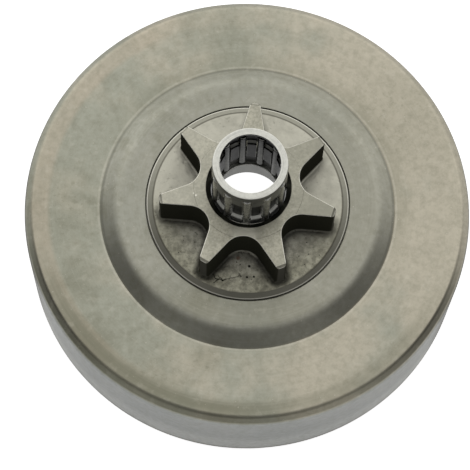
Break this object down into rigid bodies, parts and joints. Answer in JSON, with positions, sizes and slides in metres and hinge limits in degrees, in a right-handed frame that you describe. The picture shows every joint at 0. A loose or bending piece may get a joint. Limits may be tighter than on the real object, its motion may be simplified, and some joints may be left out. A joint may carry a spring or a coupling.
{
  "type": "chainsaw clutch drum",
  "caption": "Steel clutch drum: a cup with a raised crown, a spur sprocket let into it and a caged needle bearing that turns in the sprocket's bore.",
  "frame": {"origin": "on the drum's axis, in the plane of the open rim that it stands on", "axes": "+Z along the axis, out of the sprocket's toothed end; +Y through the middle of one tooth"},
  "size_m": [0.09, 0.09, 0.0483],
  "materials": {
    "drum_steel": "satin turned steel, mottled warm grey",
    "sprocket_steel": "satin hardened steel, rough on the flange",
    "cage_steel": "pressed sheet steel, dark inside",
    "roller_steel": "ground steel"
  },
  "bodies": {
    "drum": {"drum_bell": "drum_steel", "spur_sprocket": "sprocket_steel"},
    "cage": {"bearing_cage": "cage_steel"},
    "roller_01": {"needle_roller_01": "roller_steel"},
    "roller_02": {"needle_roller_02": "roller_steel"},
    "roller_03": {"needle_roller_03": "roller_steel"},
    "roller_04": {"needle_roller_04": "roller_steel"},
    "roller_05": {"needle_roller_05": "roller_steel"},
    "roller_06": {"needle_roller_06": "roller_steel"},
    "roller_07": {"needle_roller_07": "roller_steel"},
    "roller_08": {"needle_roller_08": "roller_steel"},
    "roller_09": {"needle_roller_09": "roller_steel"},
    "roller_10": {"needle_roller_10": "roller_steel"},
    "roller_11": {"needle_roller_11": "roller_steel"}
  },
  "joints": [
    {"name": "cage_spin", "type": "hinge", "parent": "drum", "child": "cage", "pos_m": [0, 0, 0.03925], "axis": [0, 0, 1], "continuous": true},
    {"name": "roller_01_spin", "type": "hinge", "parent": "cage", "child": "roller_01", "pos_m": [0, -0.0066, 0.03925], "axis": [0, 0, 1], "continuous": true},
    {"name": "roller_02_spin", "type": "hinge", "parent": "cage", "child": "roller_02", "pos_m": [0.00357, -0.00555, 0.03925], "axis": [0, 0, 1], "continuous": true},
    {"name": "roller_03_spin", "type": "hinge", "parent": "cage", "child": "roller_03", "pos_m": [0.006, -0.00274, 0.03925], "axis": [0, 0, 1], "continuous": true},
    {"name": "roller_04_spin", "type": "hinge", "parent": "cage", "child": "roller_04", "pos_m": [0.00653, 0.00094, 0.03925], "axis": [0, 0, 1], "continuous": true},
    {"name": "roller_05_spin", "type": "hinge", "parent": "cage", "child": "roller_05", "pos_m": [0.00499, 0.00432, 0.03925], "axis": [0, 0, 1], "continuous": true},
    {"name": "roller_06_spin", "type": "hinge", "parent": "cage", "child": "roller_06", "pos_m": [0.00186, 0.00633, 0.03925], "axis": [0, 0, 1], "continuous": true},
    {"name": "roller_07_spin", "type": "hinge", "parent": "cage", "child": "roller_07", "pos_m": [-0.00186, 0.00633, 0.03925], "axis": [0, 0, 1], "continuous": true},
    {"name": "roller_08_spin", "type": "hinge", "parent": "cage", "child": "roller_08", "pos_m": [-0.00499, 0.00432, 0.03925], "axis": [0, 0, 1], "continuous": true},
    {"name": "roller_09_spin", "type": "hinge", "parent": "cage", "child": "roller_09", "pos_m": [-0.00653, 0.00094, 0.03925], "axis": [0, 0, 1], "continuous": true},
    {"name": "roller_10_spin", "type": "hinge", "parent": "cage", "child": "roller_10", "pos_m": [-0.006, -0.00274, 0.03925], "axis": [0, 0, 1], "continuous": true},
    {"name": "roller_11_spin", "type": "hinge", "parent": "cage", "child": "roller_11", "pos_m": [-0.00357, -0.00555, 0.03925], "axis": [0, 0, 1], "continuous": true}
  ],
  "couplings": [
    {"joint": "roller_01_spin", "follows": "cage_spin", "ratio": -8.7882},
    {"joint": "roller_02_spin", "follows": "cage_spin", "ratio": -8.7882},
    {"joint": "roller_03_spin", "follows": "cage_spin", "ratio": -8.7882},
    {"joint": "roller_04_spin", "follows": "cage_spin", "ratio": -8.7882},
    {"joint": "roller_05_spin", "follows": "cage_spin", "ratio": -8.7882},
    {"joint": "roller_06_spin", "follows": "cage_spin", "ratio": -8.7882},
    {"joint": "roller_07_spin", "follows": "cage_spin", "ratio": -8.7882},
    {"joint": "roller_08_spin", "follows": "cage_spin", "ratio": -8.7882},
    {"joint": "roller_09_spin", "follows": "cage_spin", "ratio": -8.7882},
    {"joint": "roller_10_spin", "follows": "cage_spin", "ratio": -8.7882},
    {"joint": "roller_11_spin", "follows": "cage_spin", "ratio": -8.7882}
  ]
}
